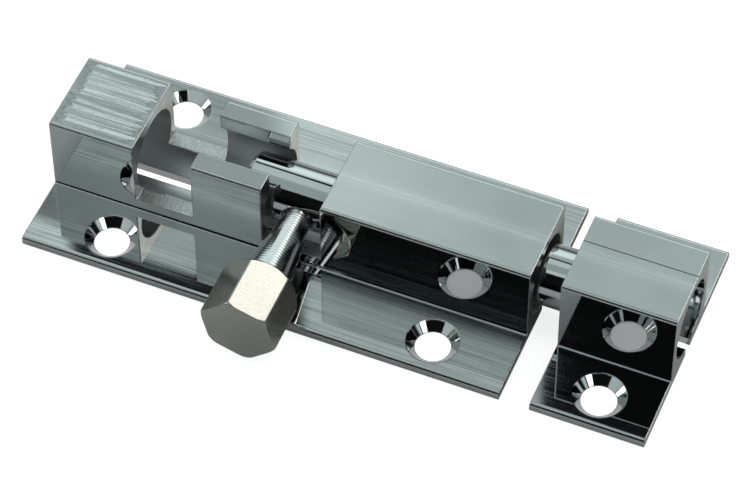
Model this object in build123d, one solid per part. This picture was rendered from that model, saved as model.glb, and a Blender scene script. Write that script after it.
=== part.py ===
from build123d import *
import math
import os

# Surface barrel bolt with a turn-down knob and a separate keeper. Lengths are in millimetres.
# Frame: origin at the centre of the housing's four screw holes, on its mounting face. +X runs along
# the bolt towards the keeper, +Y towards the rear screws, and +Z away from the mounting face.
# The bolt is thrown into the keeper, and its knob is turned down towards the front, along -Y.

# Bolt and the bore it runs in.
bolt_diameter = 8.0
bolt_clearance = 1.2  # all round, a loose sliding fit
bolt_tail = 7.9  # stud axis to the tail end
bolt_setback = 0.6  # how far the drawn bolt's tip lies inside the housing's end
bolt_end_chamfer = 0.5

# Extruded section, shared by the housing and the keeper: a block with a bore, on a flange.
side_wall = 0.9
roof_wall = 1.2
back_wall = 1.2
back_slot_width = 1.7  # opens the bore to the mounting face
wing_width = 9.9  # flange on each side of the block
flange_thickness = 1.2
block_edge_radius = 0.4
flange_edge_radius = 0.5
corner_radius = 0.25  # where the block meets the flange

# Knob: a hexagonal head on a tapered stud that is screwed into the bolt.
stud_diameter = 3.5  # of its screwed ends, and of the taper where it leaves the bolt
taper_diameter = 6.6  # of the taper where it meets the head
stud_depth_in_bolt = 3.6
stud_depth_in_head = 4.5
stud_countersink = 0.55  # depth, in the bolt's surface round the stud
knob_standoff = 8.6  # side of the block to the head's near face
head_length = 8.2
head_chamfer = 0.85  # at the end by the bolt
head_end_chamfer = 0.3  # at the outer end
head_clearance = 0.14  # between the flange and the head's lowest corner, turned down
head_corner_angle = 13.2  # degrees, that corner from straight down

# Lengths along the housing, from its closed end.
end_block_length = 11.5
stud_play = 2.25  # each side of the stud, in both gaps
bridge_length = 9.6  # the slotted stretch between the gaps
main_block_length = 27.9
gap_floor = 3.0  # height that the walls are cut down to in both gaps
slot_clearance = 1.55  # each side of the stud, in the bridge's slot

# Keeper.
keeper_length = 15.0
keeper_distance = 4.0  # free space between the housing and the keeper

# Countersunk screw holes.
screw_hole_diameter = 4.5
countersink_diameter = 6.8
screw_edge_margin = 4.5  # hole centre to the flange's long edge
screw_end_margin = 10.5  # hole centre to the housing's ends

# Sizes that follow from the ones above.
bolt_radius = bolt_diameter / 2
bore_radius = bolt_radius + bolt_clearance
bore_height = back_wall + bore_radius
block_width = 2 * (bore_radius + side_wall)
block_height = bore_height + bore_radius + roof_wall
flange_width = block_width + 2 * wing_width
screw_y = flange_width / 2 - screw_edge_margin

stud_radius = stud_diameter / 2
gap_length = stud_diameter + 2 * stud_play
slot_width = stud_diameter + 2 * slot_clearance
head_reach_down = bore_height - flange_thickness - head_clearance
head_corner_radius = head_reach_down / math.cos(math.radians(head_corner_angle))
head_distance = block_width / 2 + knob_standoff
throw = gap_length + bridge_length

housing_length = end_block_length + 2 * gap_length + bridge_length + main_block_length
housing_start = -housing_length / 2
housing_end = housing_length / 2
near_gap_start = housing_start + end_block_length
bridge_start = near_gap_start + gap_length
far_gap_start = bridge_start + bridge_length
stud_x = far_gap_start + gap_length / 2
bolt_tip = housing_end - bolt_setback + throw
keeper_start = housing_end + keeper_distance

OVERCUT = 1.0  # how far a cutting tool runs past the surface it opens


def at_points(points, distance=1e-6):
    """A filter that picks the vertices lying on any of the given section points."""
    return lambda vertex: any(
        math.hypot(vertex.X - x, vertex.Y - y) < distance for x, y in points
    )


def section():
    """The extruded section, with its width along the sketch's X and its height along Y."""
    low, centre = (Align.CENTER, Align.MIN), (Align.CENTER, Align.CENTER)
    half_block, half_flange = block_width / 2, flange_width / 2
    profile = Rectangle(flange_width, flange_thickness, align=low)
    profile += Rectangle(block_width, block_height, align=low)
    rounded = {
        block_edge_radius: [(side * half_block, block_height) for side in (-1, 1)],
        flange_edge_radius: [(side * half_flange, flange_thickness) for side in (-1, 1)],
        corner_radius: [(side * half_block, flange_thickness) for side in (-1, 1)],
    }
    for radius, points in rounded.items():
        profile = fillet(profile.vertices().filter_by(at_points(points)), radius)
    profile -= Pos(0, bore_height) * Circle(bore_radius, align=centre)
    profile -= Rectangle(back_slot_width, bore_height, align=low)
    return profile


def extrusion(start, length):
    """A length of the section, from start along X."""
    return extrude(Plane.YZ.offset(start) * section(), length)


def screw_hole(x, y):
    """The tool for one countersunk hole through the flange, driven from +Z."""
    hole_radius, head_radius = screw_hole_diameter / 2, countersink_diameter / 2
    depth = head_radius - hole_radius
    drill = Cylinder(hole_radius, flange_thickness + 2 * OVERCUT)
    cone = Cone(hole_radius, head_radius + OVERCUT, depth + OVERCUT)
    drill = Pos(x, y, flange_thickness / 2) * drill
    return drill + Pos(x, y, flange_thickness + (OVERCUT - depth) / 2) * cone


def cutter(start, length, width, floor):
    """A box that mills down to floor, over the given length of X and width of Y."""
    height = block_height + OVERCUT - floor
    box = Box(length, width, height, align=(Align.MIN, Align.CENTER, Align.MIN))
    return Pos(start, 0, floor) * box


def make_housing():
    body = extrusion(housing_start, housing_length)
    for gap_start in (near_gap_start, far_gap_start):
        body -= cutter(gap_start, gap_length, block_width + OVERCUT, gap_floor)
    body -= cutter(bridge_start, bridge_length, slot_width, bore_height)
    for end in (-1, 1):
        for side in (-1, 1):
            body -= screw_hole(end * (housing_length / 2 - screw_end_margin), side * screw_y)
    return body


def make_keeper():
    body = extrusion(keeper_start, keeper_length)
    for side in (-1, 1):
        body -= screw_hole(keeper_start + keeper_length / 2, side * screw_y)
    return body


def knob_cylinder(radius, near, far):
    """A round solid on the knob's axis, between two distances from the bolt's axis."""
    start = Plane(origin=(stud_x, -near, bore_height), z_dir=(0, -1, 0))
    return Solid.make_cylinder(radius, far - near, start)


def make_bolt_rod():
    length = bolt_tip - (stud_x - bolt_tail)
    rod = Cylinder(bolt_radius, length, rotation=(0, 90, 0))
    rod = chamfer(rod.edges().filter_by(GeomType.CIRCLE), bolt_end_chamfer)
    rod = Pos(bolt_tip - length / 2, 0, bore_height) * rod
    rod -= knob_cylinder(stud_radius, bolt_radius - stud_depth_in_bolt, bolt_radius + OVERCUT)
    mouth = Plane(
        origin=(stud_x, stud_countersink - bolt_radius, bore_height), z_dir=(0, -1, 0)
    )
    reach = stud_countersink + OVERCUT
    return rod - Solid.make_cone(stud_radius, stud_radius + reach, reach, mouth)


def make_knob_stud():
    """A round core between its two screwed ends, with a taper that widens towards the head."""
    core = knob_cylinder(
        stud_radius, bolt_radius - stud_depth_in_bolt, head_distance + stud_depth_in_head
    )
    start = Plane(origin=(stud_x, -bolt_radius, bore_height), z_dir=(0, -1, 0))
    taper = Solid.make_cone(stud_radius, taper_diameter / 2, head_distance - bolt_radius, start)
    return core + taper


def make_knob_head():
    """A hexagonal prism whose ends are turned to a chamfer all round, tapped for the stud."""
    near_face = Plane(
        origin=(stud_x, -head_distance, bore_height), x_dir=(1, 0, 0), z_dir=(0, -1, 0)
    )
    hexagon = Rot(0, 0, head_corner_angle - 90) * RegularPolygon(head_corner_radius, 6)
    prism = extrude(near_face * hexagon, head_length)
    margin = 0.2  # keeps the turned surface outside the corners
    barrel = Cylinder(
        head_corner_radius + margin, head_length, align=(Align.CENTER, Align.CENTER, Align.MIN)
    )
    inner_rim = barrel.edges().filter_by(GeomType.CIRCLE).sort_by(Axis.Z)[0]
    barrel = chamfer(inner_rim, head_chamfer + margin)
    outer_rim = barrel.edges().filter_by(GeomType.CIRCLE).sort_by(Axis.Z)[-1]
    barrel = chamfer(outer_rim, head_end_chamfer + margin)
    head = prism & (near_face.location * barrel)
    return head - knob_cylinder(stud_radius, head_distance, head_distance + stud_depth_in_head)


parts = {
    "housing": make_housing(),
    "keeper": make_keeper(),
    "bolt_rod": make_bolt_rod(),
    "knob_stud": make_knob_stud(),
    "knob_head": make_knob_head(),
}

os.makedirs("parts", exist_ok=True)
for name, shape in parts.items():
    export_step(shape, f"parts/{name}.step")
    print(name, round(shape.volume, 1), shape.is_valid)
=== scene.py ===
"""Looks for a chromed barrel bolt latch and its keeper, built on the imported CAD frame."""

import logging
import math
from dataclasses import dataclass, field
from enum import Enum

import bpy
import numpy as np
from bpy.types import Material, NodeSocket, NodeTree, Object, ShaderNode
from mathutils import Matrix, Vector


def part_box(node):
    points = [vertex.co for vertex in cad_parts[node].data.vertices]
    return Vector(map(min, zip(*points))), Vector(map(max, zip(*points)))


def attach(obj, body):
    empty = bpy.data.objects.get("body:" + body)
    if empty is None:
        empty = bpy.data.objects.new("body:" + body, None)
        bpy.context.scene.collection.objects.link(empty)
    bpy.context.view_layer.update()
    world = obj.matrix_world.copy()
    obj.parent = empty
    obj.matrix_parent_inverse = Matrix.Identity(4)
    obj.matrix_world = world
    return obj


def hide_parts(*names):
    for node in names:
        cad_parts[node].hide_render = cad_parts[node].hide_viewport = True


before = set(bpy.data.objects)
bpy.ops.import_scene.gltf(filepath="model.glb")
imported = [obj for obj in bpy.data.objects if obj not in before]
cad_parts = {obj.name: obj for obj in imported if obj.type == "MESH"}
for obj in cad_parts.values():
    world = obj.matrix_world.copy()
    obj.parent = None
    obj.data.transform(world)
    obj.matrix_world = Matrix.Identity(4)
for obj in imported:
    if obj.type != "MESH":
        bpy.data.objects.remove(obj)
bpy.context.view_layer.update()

LOG = logging.getLogger("barrel_bolt")
MM = 0.001  # metres in a millimetre: sizes below are in millimetres


class Body(str, Enum):
    """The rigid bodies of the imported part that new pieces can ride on."""

    HOUSING = "housing"
    BOLT = "bolt"
    KEEPER = "keeper"


class Node(str, Enum):
    """The CAD solids, by their node names."""

    HOUSING = "housing"
    KEEPER = "keeper"
    ROD = "bolt_rod"
    STUD = "knob_stud"
    HEAD = "knob_head"


# ---------------------------------------------------------------- small shared tools


def linear(hex_code: str, gain: float = 1.0) -> tuple[float, float, float, float]:
    """Turns an sRGB hex colour to linear RGBA.

    Args:
        hex_code: The colour, such as "#C8CACA".
        gain: A factor on the linear values, for light sources.

    Returns:
        Red, green, blue and an alpha of 1.
    """
    values = np.array([int(hex_code[i : i + 2], 16) for i in (1, 3, 5)]) / 255
    low, high = values / 12.92, ((values + 0.055) / 1.055) ** 2.4
    red, green, blue = np.where(values <= 0.04045, low, high) * gain
    return float(red), float(green), float(blue), 1.0


def add_node(
    tree: NodeTree, kind: str, inputs: dict | None = None, **settings: object
) -> ShaderNode:
    """Adds one shader node, with its settings, socket values and incoming links.

    Args:
        tree: The node tree it goes in.
        kind: The node's type name.
        inputs: Socket name or number to a value, or to the output socket that feeds it.
        settings: The node's own properties.

    Returns:
        The new node.
    """
    node = tree.nodes.new(kind)
    for key, value in settings.items():
        setattr(node, key, value)
    for key, value in (inputs or {}).items():
        if isinstance(value, NodeSocket):
            tree.links.new(value, node.inputs[key])
        else:
            node.inputs[key].default_value = value
    return node


def combine(tree: NodeTree, operation: str, *terms: object) -> NodeSocket:
    """One Math node's result.

    Args:
        tree: The node tree it goes in.
        operation: The Math node's operation.
        terms: Numbers or sockets, in the node's order.

    Returns:
        Its value socket.
    """
    return add_node(
        tree, "ShaderNodeMath", dict(enumerate(terms)), operation=operation
    ).outputs[0]


def ramp(
    tree: NodeTree, value: object, start: float, end: float, low: float, high: float
) -> NodeSocket:
    """A smooth step of a value, from low at start to high at end.

    Args:
        tree: The node tree it goes in.
        value: The socket that is read.
        start: Where the step begins.
        end: Where it ends.
        low: The result before it.
        high: The result after it.

    Returns:
        The stepped value's socket.
    """
    inputs = {0: value, 1: start, 2: end, 3: low, 4: high}
    node = add_node(tree, "ShaderNodeMapRange", inputs, interpolation_type="SMOOTHSTEP")
    return node.outputs[0]


@dataclass(frozen=True)
class Step:
    """A smooth step of a value: low up to start, and high from end on."""

    start: float
    end: float
    low: float
    high: float

    def of(self, tree: NodeTree, value: object) -> NodeSocket:
        """The step of that socket's value."""
        return ramp(tree, value, self.start, self.end, self.low, self.high)

    @classmethod
    def about(cls, middle: float, half: float, low: float, high: float) -> "Step":
        """A step that reaches half to each side of its middle."""
        return cls(middle - half, middle + half, low, high)


def grain(
    tree: NodeTree, place: NodeSocket, waves: tuple[float, float, float], detail: float
) -> NodeSocket:
    """Noise with that many waves in a millimetre along each axis.

    Args:
        tree: The material's node tree.
        place: The point, in millimetres.
        waves: How many waves a millimetre holds along X, Y and Z.
        detail: The Noise node's detail.

    Returns:
        The noise, from 0 to 1.
    """
    squeezed = add_node(tree, "ShaderNodeMapping", {"Vector": place, "Scale": waves})
    return add_node(
        tree,
        "ShaderNodeTexNoise",
        {"Vector": squeezed.outputs[0], "Scale": 1.0, "Detail": detail, "Roughness": 0.7},
    ).outputs[0]


def mix(tree: NodeTree, share: NodeSocket, first: object, second: object) -> NodeSocket:
    """A number that is first where share is 0 and second where it is 1."""
    return add_node(tree, "ShaderNodeMix", {0: share, 2: first, 3: second}).outputs[0]


def make_mesh(name: str, points: np.ndarray, quads: np.ndarray, caps: list) -> Object:
    """Puts whole arrays of points and faces, in millimetres, into a new smooth object.

    Args:
        name: The object's name.
        points: N by 3 places.
        quads: M by 4 indices into points.
        caps: Further faces, each a list of indices.

    Returns:
        The object, linked to the scene, at the origin.
    """
    mesh = bpy.data.meshes.new(name)
    mesh.from_pydata((points * MM).tolist(), [], quads.tolist() + caps)
    mesh.polygons.foreach_set("use_smooth", np.ones(len(mesh.polygons), dtype=bool))
    mesh.update()
    obj = bpy.data.objects.new(name, mesh)
    bpy.context.scene.collection.objects.link(obj)
    return obj


def tube_faces(rings: int, around: int) -> tuple[np.ndarray, list]:
    """Faces of a closed tube of rings, each of the same number of points.

    Quad (i, j) joins points j and j+1 of ring i with those of ring i+1, where j+1 wraps round.

    Args:
        rings: How many rings there are.
        around: How many points each ring has.

    Returns:
        The quads, and the two end faces.
    """
    i, j = np.meshgrid(np.arange(rings - 1), np.arange(around), indexing="ij")
    here, beside = i * around + j, i * around + (j + 1) % around
    quads = np.stack([here, beside, beside + around, here + around], axis=-1)
    first, last = np.arange(around)[::-1], np.arange(around) + (rings - 1) * around
    return quads.reshape(-1, 4), [first.tolist(), last.tolist()]


def centre_and_size(node: Node) -> tuple[np.ndarray, np.ndarray]:
    """A CAD node's box centre and size, in millimetres."""
    low, high = (np.array(corner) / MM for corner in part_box(node.value))
    return (low + high) / 2, high - low


# ---------------------------------------------------------------- finishes


@dataclass(frozen=True)
class Chrome:
    """Bright decorative chrome plate on buffed metal.

    The eye gets a hard mirror, whose fine buffing lines all run one way and blur it a little
    across them.
    """

    name: str
    tint: str = "#C8CACA"  # chromium, a hair bluer than steel
    roughness: tuple[float, float] = (0.012, 0.05)  # clean mirror, and along a buffing line
    line_width: float = 0.2  # of the buffing lines, which are drawn coarse enough to show
    line_length: float = 25.0
    line_depth: float = 0.00015
    line_shade: float = 0.07  # how much darker the densest lines look
    edge_radius: float = 0.22  # the plate's build-up softens every sharp edge
    haze_waves: float = 0.12  # in a millimetre
    haze_shade: float = 0.93  # of the tint, where it has been handled most
    haze_share: Step = Step(0.35, 0.7, 0.0, 1.0)

    def build(self) -> Material:
        """Makes the material.

        Returns:
            The finished material.
        """
        material = bpy.data.materials.new(self.name)
        material.use_nodes = True
        tree = material.node_tree
        tree.nodes.clear()
        place = add_node(tree, "ShaderNodeTexCoord").outputs["Object"]
        place = add_node(
            tree, "ShaderNodeMapping", {"Vector": place, "Scale": (1 / MM,) * 3}
        ).outputs[0]
        rough, height, shade = self.worked_places(tree, place, *self.buffing(tree, place))
        rounded = add_node(
            tree, "ShaderNodeBevel", {"Radius": self.edge_radius * MM}, samples=6
        )
        bump = add_node(
            tree,
            "ShaderNodeBump",
            {"Strength": 1.0, "Distance": MM, "Height": height, "Normal": rounded.outputs[0]},
        )
        shader = add_node(
            tree,
            "ShaderNodeBsdfPrincipled",
            {
                "Base Color": self.colour(tree, place, shade),
                "Metallic": 1.0,
                "Roughness": rough,
                "Normal": bump.outputs[0],
            },
        )
        add_node(tree, "ShaderNodeOutputMaterial", {"Surface": shader.outputs[0]})
        return material

    def colour(self, tree: NodeTree, place: NodeSocket, shade: NodeSocket) -> NodeSocket:
        """The plate's colour, a little uneven from handling, darker where it is worked, and
        carrying the painted shade and painted light that a finish sets on its cut ends.

        Args:
            tree: The material's node tree.
            place: The point, in millimetres.
            shade: A factor on the colour, painted shade included.

        Returns:
            The colour socket.
        """
        haze = add_node(
            tree,
            "ShaderNodeTexNoise",
            {"Vector": place, "Scale": self.haze_waves, "Detail": 3.0},
        ).outputs[0]
        share = self.haze_share.of(tree, haze)
        clean, handled = linear(self.tint), linear(self.tint, self.haze_shade)
        tints = add_node(
            tree, "ShaderNodeMix", {0: share, 6: clean, 7: handled}, data_type="RGBA"
        ).outputs[2]
        return add_node(
            tree, "ShaderNodeVectorMath", {0: tints, "Scale": shade}, operation="SCALE"
        ).outputs[0]

    def buffing(self, tree: NodeTree, place: NodeSocket) -> tuple[NodeSocket, ...]:
        """Buffing lines along X: noise, squeezed across them and drawn out along them.

        Args:
            tree: The material's node tree.
            place: The point, in millimetres.

        Returns:
            The roughness, the height in millimetres and the shade.
        """
        squeeze = (1 / self.line_length, 1 / self.line_width, 1 / self.line_width)
        lines = add_node(tree, "ShaderNodeMapping", {"Vector": place, "Scale": squeeze})
        noise = add_node(
            tree,
            "ShaderNodeTexNoise",
            {"Vector": lines.outputs[0], "Scale": 1.0, "Detail": 4.0, "Roughness": 0.6},
        ).outputs[0]
        rough = ramp(tree, noise, 0.35, 0.75, *self.roughness)
        shade = ramp(tree, noise, 0.3, 0.75, 1.0, 1.0 - self.line_shade)
        return rough, combine(tree, "MULTIPLY", noise, self.line_depth), shade

    def worked_places(
        self,
        tree: NodeTree,
        place: NodeSocket,
        rough: NodeSocket,
        height: NodeSocket,
        shade: NodeSocket,
    ) -> tuple[NodeSocket, NodeSocket, NodeSocket]:
        """Where tools left the metal rougher; a plain plated surface has none.

        Args:
            tree: The material's node tree.
            place: The point, in millimetres.
            rough: The roughness so far.
            height: The height so far.
            shade: The shade so far.

        Returns:
            The roughness, the height and the shade, changed there.
        """
        return rough, height, shade


@dataclass(frozen=True)
class Patch:
    """A box, in millimetres and mirrored across Y, in which a surface is worked another way."""

    centre: tuple[float, float, float]
    half: tuple[float, float, float]

    def mask(self, tree: NodeTree, mirrored: NodeSocket) -> NodeSocket:
        """1 inside the box and 0 outside: the largest of |p - centre| - half is below zero.

        Args:
            tree: The material's node tree.
            mirrored: The point, with its Y made positive.

        Returns:
            The mask's socket.
        """
        offset = add_node(
            tree, "ShaderNodeVectorMath", {0: mirrored, 1: self.centre}, operation="SUBTRACT"
        ).outputs[0]
        reach = add_node(
            tree, "ShaderNodeVectorMath", {0: offset}, operation="ABSOLUTE"
        ).outputs[0]
        beyond = add_node(
            tree, "ShaderNodeVectorMath", {0: reach, 1: self.half}, operation="SUBTRACT"
        ).outputs[0]
        split = add_node(tree, "ShaderNodeSeparateXYZ", {0: beyond}).outputs
        largest = combine(tree, "MAXIMUM", combine(tree, "MAXIMUM", split[0], split[1]), split[2])
        return combine(tree, "LESS_THAN", largest, 0.0)


@dataclass(frozen=True)
class Working:
    """How a tool leaves the metal: the grain of its marks, and what the marks change."""

    waves: tuple[float, float, float]  # in a millimetre, along each axis
    detail: float
    rough: Step  # the roughness, from the grain's noise
    shade: Step
    depth: float = 0.0  # of the marks; 0 leaves the height as it was

    def marks(self, tree: NodeTree, place: NodeSocket) -> NodeSocket:
        """The noise of its marks, from 0 to 1."""
        return grain(tree, place, self.waves, self.detail)


BRUSHED = Working(
    (0.035, 1.5, 1.5), 6.0, Step(0.35, 0.65, 0.08, 0.4), Step(0.36, 0.62, 1.35, 0.6), 0.05
)
MILLED = Working(
    (3.0, 0.9, 3.0), 4.0, Step(0.3, 0.7, 0.25, 0.4), Step(0.3, 0.7, 1.1, 0.8), 0.045
)
STREAKED = Working(
    (0.06, 3.0, 3.0), 3.0, Step(0.45, 0.7, 0.012, 0.045), Step(0.35, 0.65, 1.15, 0.8)
)
FRAY = Step(0.35, 0.65, -0.8, 0.8)  # how far along X the brushed patch's ends wander


@dataclass(frozen=True)
class ExtrudedChrome(Chrome):
    """Chrome plate on an extruded section: buffed outside, and worked in patches.

    A brushed patch is a soft grey sheen of fine scratches, a milled one glitters coarsely, a
    streaked one is a mirror with faint stripes, and a dark-line patch is a fine dark line. The
    cut ends and the bore have a roughness of their own, and the cut ends' colour carries painted
    shade, darker on the housing and lighter on the keeper, for the reflections they catch.
    """

    brushed: tuple[Patch, ...] = ()
    milled: tuple[Patch, ...] = ()
    dark_lines: tuple[Patch, ...] = ()
    streaked: tuple[Patch, ...] = ()
    # a dark-line patch is rougher and much darker in colour than the plate around it
    dark_line_roughness: float = 0.4
    dark_line_shade: float = 0.12
    end_roughness: float = 0.3  # sawn and faced ends
    end_painted_shade: tuple[float, float] = (0.6, 0.3)  # painted shade on a cut end, at its best and its worst, for the dim reflections it catches
    end_waves: tuple[float, float, float] = (2.0, 0.4, 5.0)  # of its marks, in a millimetre
    end_detail: float = 3.0
    end_depth: float = 0.012
    end_facing: float = 0.95  # a face is an end where its normal's X is past this
    bore: tuple[float, float] = (5.2, 6.4)  # its radius, and its axis's height over the back
    bore_slack: float = 0.03  # so that the whole wall is inside the bore's mask
    bore_roughness: float = 0.4  # the buffing wheel doesn't reach into it

    def worked_places(
        self,
        tree: NodeTree,
        place: NodeSocket,
        rough: NodeSocket,
        height: NodeSocket,
        shade: NodeSocket,
    ) -> tuple[NodeSocket, NodeSocket, NodeSocket]:
        """Works the patches, the dark lines, the bore and the faced ends, whose colour gets
        painted shade.

        Args:
            tree: The material's node tree.
            place: The point, in millimetres.
            rough: The roughness so far.
            height: The height so far.
            shade: The shade so far.

        Returns:
            The roughness, the height and the shade, changed there.
        """
        split = add_node(tree, "ShaderNodeSeparateXYZ", {0: place}).outputs
        side = combine(tree, "ABSOLUTE", split[1])
        mirrored = add_node(
            tree, "ShaderNodeCombineXYZ", {0: split[0], 1: side, 2: split[2]}
        ).outputs[0]
        wander = FRAY.of(tree, BRUSHED.marks(tree, place))
        uneven = add_node(tree, "ShaderNodeCombineXYZ", {0: wander}).outputs[0]
        frayed = add_node(tree, "ShaderNodeVectorMath", {0: mirrored, 1: uneven}).outputs[0]
        for working, patches, point in (
            (BRUSHED, self.brushed, frayed),
            (MILLED, self.milled, mirrored),
            (STREAKED, self.streaked, mirrored),
        ):
            marks = working.marks(tree, place)
            for patch in patches:
                here = patch.mask(tree, point)
                rough = mix(tree, here, rough, working.rough.of(tree, marks))
                shade = mix(tree, here, shade, working.shade.of(tree, marks))
                if working.depth:
                    deep = combine(tree, "MULTIPLY", marks, working.depth)
                    height = mix(tree, here, height, deep)
        # the fine dark lines: rougher, and darker in colour
        for patch in self.dark_lines:
            here = patch.mask(tree, place)
            rough = mix(tree, here, rough, self.dark_line_roughness)
            shade = mix(tree, here, shade, self.dark_line_shade)
        rough = mix(tree, self.bore_mask(tree, split), rough, self.bore_roughness)
        facing = add_node(tree, "ShaderNodeTexCoord").outputs["Normal"]
        facing = add_node(tree, "ShaderNodeSeparateXYZ", {0: facing}).outputs[0]
        faced = combine(
            tree, "GREATER_THAN", combine(tree, "ABSOLUTE", facing), self.end_facing
        )
        marks = grain(tree, place, self.end_waves, self.end_detail)
        deep = combine(tree, "MULTIPLY", marks, self.end_depth)
        rough = mix(tree, faced, rough, self.end_roughness)
        height = mix(tree, faced, height, deep)
        # painted shade on the cut ends: their colour is scaled down (on the keeper, up) to stand
        # for what they reflect
        shade = mix(tree, faced, shade, ramp(tree, marks, 0.3, 0.7, *self.end_painted_shade))
        return rough, height, shade

    def bore_mask(self, tree: NodeTree, split: object) -> NodeSocket:
        """1 on the bore's wall, where hypot(y, z - height) is at most its radius, and 0 outside.

        Args:
            tree: The material's node tree.
            split: The point's three sockets.

        Returns:
            The mask's socket.
        """
        radius, height = self.bore
        level = combine(tree, "SUBTRACT", split[2], height)
        squares = (combine(tree, "MULTIPLY", term, term) for term in (split[1], level))
        distance = combine(tree, "SQRT", combine(tree, "ADD", *squares))
        return combine(tree, "LESS_THAN", distance, radius + self.bore_slack)


# ---------------------------------------------------------------- sub-assemblies


@dataclass
class Housing:
    """The slotted extrusion that the bolt runs in."""

    end_block: float = 11.5
    gap: float = 8.0
    bridge: float = 9.6
    gap_floor: float = 3.0
    flange: float = 1.2  # thickness
    streaks: tuple[float, float] = (13.2, 2.2)  # the streaked strip's middle and half width
    wall: tuple[float, float] = (4.1, 6.3)  # the cut walls' reach, from the centre plane
    brushed_margin: float = 0.9  # left bright at each end of the block's top
    brushed_half_width: float = 5.4
    floor_margin: float = 0.02  # so that a gap's whole floor is inside its patch
    patch_depth: float = 0.05  # half of the height of a patch on one face

    def finish(self) -> ExtrudedChrome:
        """Places the brushed block top, the milled gap floors and the streaked flange strips.

        Returns:
            The finish.
        """
        centre, size = centre_and_size(Node.HOUSING)
        start, top = centre[0] - size[0] / 2, centre[2] + size[2] / 2
        half_block = self.end_block / 2
        reach = (half_block - self.brushed_margin, self.brushed_half_width, 2 * self.patch_depth)
        block = Patch((start + half_block, 0.0, top), reach)
        near = start + self.end_block + self.gap / 2
        middle, half = sum(self.wall) / 2, (self.wall[1] - self.wall[0]) / 2
        floors = tuple(
            Patch(
                (x, middle, self.gap_floor),
                (self.gap / 2 + self.floor_margin, half, self.patch_depth),
            )
            for x in (near, near + self.gap + self.bridge)
        )
        across, half_width = self.streaks
        rim = Patch(
            (float(centre[0]), across, self.flange), (size[0], half_width, self.patch_depth)
        )
        return ExtrudedChrome(
            "extruded_brass_chrome_plated", brushed=(block,), milled=floors, streaked=(rim,)
        )

    def dress(self) -> None:
        """Gives the CAD housing its finish."""
        dress_node(Node.HOUSING, self.finish())


@dataclass
class Keeper:
    """The short length of the same extrusion that takes the bolt's tip."""

    line_side: float = 1.72  # where a fine dark line runs along its top, from the centre plane
    line_width: float = 0.14
    line_reach: float = 0.05  # half of the height of its patch

    def dress(self) -> None:
        """Gives the CAD keeper its finish."""
        centre, size = centre_and_size(Node.KEEPER)
        top = centre[2] + size[2] / 2
        half = (size[0] / 2, self.line_width / 2, self.line_reach)
        line = Patch((float(centre[0]), self.line_side, float(top)), half)
        # the keeper's cut ends carry painted light, brighter than the housing's painted shade
        finish = ExtrudedChrome(
            "keeper_chrome_plated", dark_lines=(line,), end_painted_shade=(1.1, 0.9), bore_roughness=0.05
        )
        dress_node(Node.KEEPER, finish)


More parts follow.
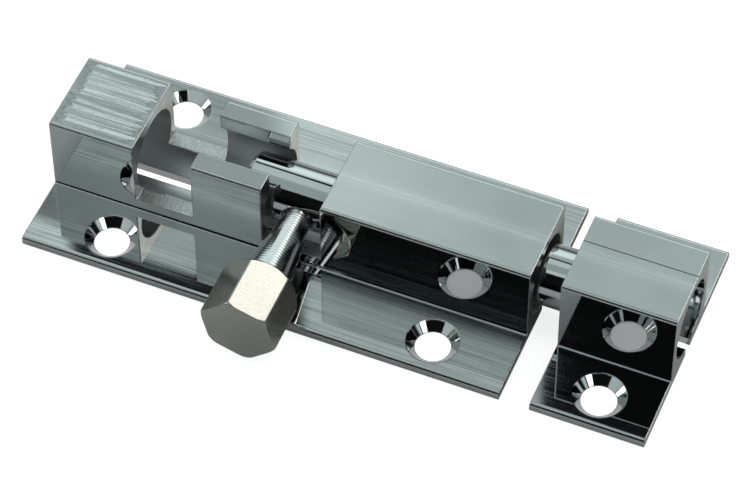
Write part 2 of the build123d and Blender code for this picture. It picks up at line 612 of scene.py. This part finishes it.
@dataclass
class Bolt:
    """The round bar, the tapered stud and the hexagonal head, which turn together."""

    stud_radius: float = 1.75
    bar_radius: float = 4.0
    head_start: float = 14.7  # from the bolt's axis
    pitch: float = 0.46  # of the turning marks on the stud's taper, drawn coarse enough to show
    mark_depth: float = 0.01
    crest: float = 0.5  # share of the pitch that is flat between two marks
    root: float = 0.1  # and in a mark
    mark_rows: int = 12  # in one pitch
    stud_around: int = 120
    taper_end: float = 0.01  # over this length the taper drops back to the screwed end
    chamfer: float = 0.85  # of the head, at the end by the bolt
    end_chamfer: float = 0.3  # and at its outer end
    across_flats: float = 9.0
    flat_tilt: float = 16.8  # degrees, the top flat's normal from up towards +X
    edge_hardness: float = 150.0  # higher is a sharper edge on the head
    head_around: int = 432
    head_rows: int = 220
    barrel_margin: float = 0.2  # the barrel stands past the corners, so that they stay sharp
    end_middle: float = 0.02  # radius that the head's end faces close at
    pieces: dict[str, Object] = field(default_factory=dict)

    def ring(self, axis: np.ndarray, along: np.ndarray, radius: np.ndarray) -> np.ndarray:
        """Places rings about a line that runs along -Y.

        Point (i, j) is the axis point at depth along[i], plus radius[i, j] at angle j, which
        turns from +X towards +Z.

        Args:
            axis: The line's X and Z.
            along: Each ring's distance from the bolt's axis, one for each ring.
            radius: The radius at each ring and angle.

        Returns:
            N by 3 places.
        """
        angle = np.linspace(0, 2 * np.pi, radius.shape[1], endpoint=False)
        x = axis[0] + radius * np.cos(angle)
        z = axis[1] + radius * np.sin(angle)
        y = np.broadcast_to(-along[:, None], x.shape)
        return np.stack([x, y, z], axis=-1).reshape(-1, 3)

    def make_stud(self) -> Object:
        """Builds the stud: a screwed end, a taper that widens to the head, and another end.

        The radius grows in a straight line over the taper. A helical mark is cut in it, whose
        depth goes with the phase along / pitch - angle / turn: none within the crest's share of
        the phase from its middle, all of it within the root's share of its ends, and straight
        between.

        Returns:
            The stud.
        """
        centre, size = centre_and_size(Node.STUD)
        rows = int(size[1] / self.pitch * self.mark_rows) + 1
        along = -centre[1] + np.linspace(-size[1] / 2, size[1] / 2, rows)
        angle = np.linspace(0, 1, self.stud_around, endpoint=False)
        phase = (along[:, None] / self.pitch - angle[None, :]) % 1
        away = 1 - np.abs(2 * phase - 1)
        slope = np.clip((away - self.crest) / (1 - self.crest - self.root), 0, 1)
        taper = [self.bar_radius, self.head_start, self.head_start + self.taper_end]
        profile = np.interp(along, taper, [self.stud_radius, size[0] / 2, self.stud_radius])
        radius = profile[:, None] - self.mark_depth * slope
        points = self.ring(centre[[0, 2]], along, radius)
        stud = make_mesh("turned_stud", points, *tube_faces(rows, self.stud_around))
        self.attach(stud, Node.STUD)
        return stud

    def make_head(self) -> Object:
        """Builds the hexagonal head.

        Its radius is the soft least of seven distances: to each of the six flats along that
        angle, and the radius of the chamfered barrel there. The soft least of d1, d2... is
        (d1^-p + d2^-p + ...)^(-1/p), whose p sets how sharp the edges are. The barrel's
        profile is straight lines, averaged over a short length to round its corners.

        Returns:
            The head.
        """
        centre, size = centre_and_size(Node.HEAD)
        flat = self.across_flats / 2
        corner = flat / math.cos(math.pi / 6)
        near, far = -centre[1] - size[1] / 2, -centre[1] + size[1] / 2
        margin = self.barrel_margin
        barrel_radius = corner + margin
        profile = np.array(
            [
                (self.end_middle, near),
                (corner - self.chamfer, near),
                (barrel_radius, near + self.chamfer + margin),
                (barrel_radius, far - self.end_chamfer - margin),
                (corner - self.end_chamfer, far),
                (self.end_middle, far),
            ]
        )
        steps = np.concatenate([[0], np.cumsum(np.hypot(*np.diff(profile, axis=0).T))])
        at = np.linspace(0, steps[-1], self.head_rows)
        barrel = np.interp(at, steps, profile[:, 0])
        along = np.interp(at, steps, profile[:, 1])
        kernel = np.ones(3) / 3
        barrel[1:-1] = np.convolve(barrel, kernel, "valid")
        along[1:-1] = np.convolve(along, kernel, "valid")
        angle = np.linspace(0, 2 * np.pi, self.head_around, endpoint=False)
        facing = math.radians(90 - self.flat_tilt) + np.arange(6)[:, None] * math.pi / 3
        cosines = np.maximum(np.cos(angle[None, :] - facing), 0)
        power = self.edge_hardness
        flats = ((cosines * barrel.max() / flat) ** power).sum(axis=0)
        round_part = (barrel.max() / barrel) ** power
        radius = barrel.max() * (flats[None, :] + round_part[:, None]) ** (-1 / power)
        points = self.ring(centre[[0, 2]], along, radius)
        head = make_mesh("hexagon_head", points, *tube_faces(len(at), self.head_around))
        self.attach(head, Node.HEAD)
        return head

    def attach(self, piece: Object, node: Node) -> None:
        """Makes a piece ride on the bolt in place of a CAD node.

        Args:
            piece: The new piece.
            node: The CAD node that it stands for.
        """
        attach(piece, Body.BOLT.value)
        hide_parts(node.value)
        self.pieces[node.value] = piece

    def dress(self) -> None:
        """Gives the bar, the stud and the head their finishes."""
        bar = Chrome("drawn_bar_chrome_plated", line_width=0.3)
        dress_node(Node.ROD, bar)
        turned = Chrome("turned_steel_plated", roughness=(0.1, 0.2), edge_radius=0.02)
        satin = Chrome(
            "satin_nickel_plated", tint="#B9B7B0", roughness=(0.13, 0.24), line_width=0.15,
            line_length=0.6, line_depth=0.003, edge_radius=0.05,
        )
        self.pieces[Node.STUD.value].data.materials.append(turned.build())
        self.pieces[Node.HEAD.value].data.materials.append(satin.build())


def dress_node(node: Node, finish: Chrome) -> None:
    """Puts a finish in each of a CAD node's material slots.

    Args:
        node: The CAD node.
        finish: Its finish.
    """
    material = finish.build()
    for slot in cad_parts[node.value].material_slots:
        slot.material = material


# ---------------------------------------------------------------- studio


@dataclass(frozen=True)
class Softbox:
    """A soft light, as a round glow in the sky."""

    bearing: float  # degrees from the front, towards +X
    height: float  # degrees above the floor
    spread: float  # degrees from its middle to its edge
    strength: float
    colour: str = "#FFFFFF"

    def towards(self) -> tuple[float, float, float]:
        """The unit vector to its middle."""
        bearing, height = math.radians(self.bearing), math.radians(self.height)
        level = math.cos(height)
        return (math.sin(bearing) * level, -math.cos(bearing) * level, math.sin(height))


def stripe(
    tree: NodeTree, value: NodeSocket, middle: float, half: float, height: float
) -> NodeSocket:
    """A smooth ridge of that height where the value is within half of middle."""
    away = combine(tree, "ABSOLUTE", combine(tree, "SUBTRACT", value, middle))
    return ramp(tree, away, 0.3 * half, half, height, 0.0)


@dataclass(frozen=True)
class FrontWall:
    """The tent's front: grey at the left, and an opening that is dark up to a straight edge.

    Slope is height over the distance to the front, and across is X over that distance.
    """

    opening_top: Step = Step.about(1.404, 0.001, 1, 0)  # over slope
    opening_side: Step = Step.about(-0.472, 0.003, 0, 1)  # over across
    roof_side: Step = Step.about(-0.327, 0.01, 0, 1)  # right of this the roof is dark too
    roof_end: Step = Step(2.4, 3.2, 1, 0)
    seam: float = 1.3685  # slope of the seam in the left wall
    seam_width: float = 0.0016
    seam_light: float = 0.6
    tones: tuple[float, float] = (0.73, 0.53)  # under and over the seam
    beside_opening: float = 0.85  # the least light, above the opening
    darkest: float = 0.01

    def build(self, tree: NodeTree, slope: NodeSocket, across: NodeSocket) -> NodeSocket:
        """How bright the wall is.

        Args:
            tree: The world's node tree.
            slope: Height over distance.
            across: X over distance.

        Returns:
            The brightness.
        """
        opening = self.opening_side.of(tree, across)
        under = combine(tree, "MULTIPLY", opening, self.opening_top.of(tree, slope))
        roof = combine(
            tree, "MULTIPLY", self.roof_side.of(tree, across), self.roof_end.of(tree, slope)
        )
        dark = combine(tree, "MAXIMUM", under, roof)
        wall = Step.about(self.seam, 0.001, *self.tones).of(tree, slope)
        ridge = stripe(tree, slope, self.seam, self.seam_width, self.seam_light)
        wall = combine(tree, "ADD", wall, ridge)
        least = ramp(tree, opening, 0, 1, 0, self.beside_opening)
        wall = combine(tree, "MAXIMUM", wall, least)
        return combine(tree, "MULTIPLY", wall, ramp(tree, dark, 0, 1, 1.0, self.darkest))


@dataclass(frozen=True)
class BackWall:
    """The tent's back: a seamed wall, panels above it and a brighter shelf at its foot.

    Slope is height over the distance to the back, and across is X over that distance. The
    steps are over across unless their comment says slope.
    """

    left_glow: Step = Step(-0.445, -0.34, 0.95, 0.72)
    left_shadow: Step = Step(-0.475, -0.455, 0.6, 1.0)
    seam: tuple[float, float, float] = (1.3155, 0.003, 0.3)  # slope, half width and light
    panel_rise: Step = Step(1.424, 1.427, 0.25, 0.85)  # over slope, in the far left panel
    panel_left: Step = Step(-0.59, -0.58, 1.0, 0.0)  # where that panel ends
    panel_light: Step = Step(-0.46, -0.45, 0.02, 0.62)
    panel_dark: Step = Step(-0.33, -0.325, 1.0, 0.02)
    panel_edge: Step = Step.about(-0.51, 0.005, 1.432, 1.39)  # slope where the panels start
    far_edge: Step = Step(-0.59, -0.58, 1.37, 2.0)  # and where they do in the far left one
    crisp: float = 0.001  # half of the slope over which the wall turns to panel
    shelf_light: Step = Step(0.33, 0.36, 1.35, 0.12)
    right_light: Step = Step(1.0, 1.15, 0.0, 0.9)
    shelf_top: Step = Step(1.1, 1.15, 1, 0)  # over slope

    def build(self, tree: NodeTree, slope: NodeSocket, across: NodeSocket) -> NodeSocket:
        """How bright the wall is.

        Args:
            tree: The world's node tree.
            slope: Height over distance.
            across: X over distance.

        Returns:
            The brightness.
        """
        wall = combine(
            tree, "MULTIPLY", self.left_glow.of(tree, across), self.left_shadow.of(tree, across)
        )
        wall = combine(tree, "ADD", wall, stripe(tree, slope, *self.seam))
        upper = combine(
            tree, "MULTIPLY", self.panel_left.of(tree, across), self.panel_rise.of(tree, slope)
        )
        upper = combine(tree, "MAXIMUM", upper, self.panel_light.of(tree, across))
        upper = combine(tree, "MULTIPLY", upper, self.panel_dark.of(tree, across))
        edge = combine(
            tree, "MINIMUM", self.panel_edge.of(tree, across), self.far_edge.of(tree, across)
        )
        over = combine(tree, "SUBTRACT", slope, edge)
        high = Step.about(0, self.crisp, 0, 1).of(tree, over)
        wall = mix(tree, high, wall, upper)
        shelf = combine(
            tree, "MAXIMUM", self.shelf_light.of(tree, across), self.right_light.of(tree, across)
        )
        return mix(tree, self.shelf_top.of(tree, slope), wall, shelf)


@dataclass
class Studio:
    """A pale floor inside a grey tent, which is open and dark at the front."""

    softboxes: tuple[Softbox, ...] = (
        Softbox(158, 51, 13, 2.1, "#FFFDF6"),
        Softbox(62, 33, 10, 3.6),
        Softbox(-82, 14, 9, 3.6),
    )
    softbox_core: float = 0.85  # share of the spread that is evenly bright
    wall: str = "#E9FAF9"  # the tent's cloth, faintly green
    front: FrontWall = FrontWall()
    back: BackWall = BackWall()
    turn: Step = Step(-0.08, 0.08, 0.0, 1.0)  # over Y, from the front wall to the back one
    least_distance: float = 0.02  # keeps slope and across finite at the sides
    skirting: Step = Step(0.12, 0.45, 0.08, 1.0)  # over Z: the walls are dark at the floor
    right_side: Step = Step(1.0, 1.3, 0.0, 0.8)  # over across: but not at the right
    floor_size: float = 4000.0
    floor_depth: float = 0.15  # under the object's back
    floor_shade: str = "#E6E2E2"
    floor_glow: float = 0.8  # added where the camera sees the floor itself
    underglow: float = 0.3  # painted glow on the floor strips under the housing and keeper, brightening what the screw holes and slots open on
    # painted glow strips: each is a middle and a half length along X, and a half width, in
    # millimetres
    underglow_strips: tuple[tuple[float, float, float], ...] = ((0, 32, 15.5), (44, 7, 15.5))

    def build(self) -> None:
        """Makes the tent and the floor."""
        self.make_tent()
        self.make_floor()

    def make_tent(self) -> None:
        """Lights the world by direction: grey walls, a dark opening and the softboxes."""
        world = bpy.data.worlds.new("grey_tent")
        bpy.context.scene.world = world
        world.use_nodes = True
        tree = world.node_tree
        tree.nodes.clear()
        ray = add_node(tree, "ShaderNodeTexCoord").outputs["Generated"]
        x, y, z = add_node(tree, "ShaderNodeSeparateXYZ", {0: ray}).outputs[:3]
        ahead = combine(tree, "MAXIMUM", combine(tree, "ABSOLUTE", y), self.least_distance)
        slope = combine(tree, "DIVIDE", z, ahead)
        across = combine(tree, "DIVIDE", x, ahead)
        front = self.front.build(tree, slope, across)
        back = self.back.build(tree, slope, across)
        level = mix(tree, self.turn.of(tree, y), front, back)
        low = combine(
            tree, "MAXIMUM", self.skirting.of(tree, z), self.right_side.of(tree, across)
        )
        level = combine(tree, "MULTIPLY", level, low)
        cloth = add_node(
            tree, "ShaderNodeBackground", {"Color": linear(self.wall), "Strength": level}
        ).outputs[0]
        for box in self.softboxes:
            facing = add_node(
                tree, "ShaderNodeVectorMath", {0: ray, 1: box.towards()}, operation="DOT_PRODUCT"
            ).outputs["Value"]
            inner, outer = (
                math.cos(math.radians(box.spread * share)) for share in (self.softbox_core, 1.0)
            )
            glow = ramp(tree, facing, outer, inner, 0.0, box.strength)
            light = add_node(
                tree, "ShaderNodeBackground", {"Color": linear(box.colour), "Strength": glow}
            ).outputs[0]
            cloth = add_node(tree, "ShaderNodeAddShader", {0: cloth, 1: light}).outputs[0]
        add_node(tree, "ShaderNodeOutputWorld", {"Surface": cloth})

    def make_floor(self) -> None:
        """Lays the pale floor just under the object, with painted glow in strips beneath the
        housing and keeper.
        """
        half = self.floor_size / 2
        corners = np.array([(-half, -half), (half, -half), (half, half), (-half, half)])
        points = np.column_stack([corners, np.full(4, -self.floor_depth)])
        floor = make_mesh("pale_floor", points, np.array([[0, 1, 2, 3]]), [])
        material = bpy.data.materials.new("pale_paper")
        material.use_nodes = True
        tree = material.node_tree
        tree.nodes.clear()
        paper = add_node(tree, "ShaderNodeBsdfDiffuse", {"Color": linear(self.floor_shade)})
        seen = add_node(tree, "ShaderNodeLightPath").outputs["Is Camera Ray"]
        glow = combine(tree, "MULTIPLY", seen, self.floor_glow)
        place = add_node(tree, "ShaderNodeTexCoord").outputs["Object"]
        # painted glow on the floor under the housing and keeper, for every ray
        inside = (self.under_mask(tree, place, *strip) for strip in self.underglow_strips)
        under = combine(tree, "MULTIPLY", combine(tree, "ADD", *inside), self.underglow)
        glow = combine(tree, "ADD", glow, under)
        lift = add_node(tree, "ShaderNodeEmission", {"Strength": glow})
        both = add_node(tree, "ShaderNodeAddShader", {0: paper.outputs[0], 1: lift.outputs[0]})
        add_node(tree, "ShaderNodeOutputMaterial", {"Surface": both.outputs[0]})
        floor.data.materials.append(material)

    @staticmethod
    def under_mask(
        tree: NodeTree, place: NodeSocket, middle: float, half: float, side: float
    ) -> NodeSocket:
        """1 on the floor where |x - middle| < half and |y| < side, in millimetres, and 0 outside.

        Args:
            tree: The floor's node tree.
            place: The point, in metres.
            middle: The strip's middle along X.
            half: Half of its length.
            side: Half of its width.

        Returns:
            The mask's socket.
        """
        split = add_node(tree, "ShaderNodeSeparateXYZ", {0: place}).outputs
        along = combine(tree, "SUBTRACT", split[0], middle * MM)
        along = combine(tree, "LESS_THAN", combine(tree, "ABSOLUTE", along), half * MM)
        near = combine(tree, "LESS_THAN", combine(tree, "ABSOLUTE", split[1]), side * MM)
        return combine(tree, "MULTIPLY", along, near)


@dataclass(frozen=True)
class Viewpoint:
    """The camera: its bearing from the front towards +X, its height, roll and distance."""

    bearing: float = 22.58
    height: float = 51.55
    roll: float = 0.25
    distance: float = 449.2
    target: tuple[float, float, float] = (11.31, -4.39, 6.0)
    lens: float = 172.47

    def build(self) -> None:
        """Places the camera, looking at the target."""
        bearing, height, roll = np.radians([self.bearing, self.height, self.roll])
        back = np.array(
            [
                np.sin(bearing) * np.cos(height),
                -np.cos(bearing) * np.cos(height),
                np.sin(height),
            ]
        )
        right = np.cross(-back, [0, 0, 1])
        right /= np.linalg.norm(right)
        down = np.cross(-back, right)
        across = np.cos(roll) * right + np.sin(roll) * down
        up = np.sin(roll) * right - np.cos(roll) * down
        place = (np.array(self.target) + back * self.distance) * MM
        camera = bpy.data.cameras.new("camera")
        camera.lens = self.lens
        camera.sensor_width = 36.0
        camera.clip_start = 0.01
        obj = bpy.data.objects.new("camera", camera)
        bpy.context.scene.collection.objects.link(obj)
        columns = np.column_stack([across, up, back, place])
        obj.matrix_world = Matrix(np.vstack([columns, [0, 0, 0, 1]]).tolist())
        bpy.context.scene.camera = obj


def main() -> None:
    """Builds the pieces in order and reports each one."""
    logging.basicConfig(level=logging.INFO, format="%(name)s: %(message)s")
    bolt = Bolt()
    for piece in (bolt.make_stud(), bolt.make_head()):
        LOG.info("built %s, %d faces", piece.name, len(piece.data.polygons))
    for part in (Housing(), Keeper(), bolt):
        part.dress()
        LOG.info("dressed %s", type(part).__name__.lower())
    Studio().build()
    Viewpoint().build()
    bpy.context.scene.view_settings.view_transform = "Standard"


if __name__ == "__main__":
    main()
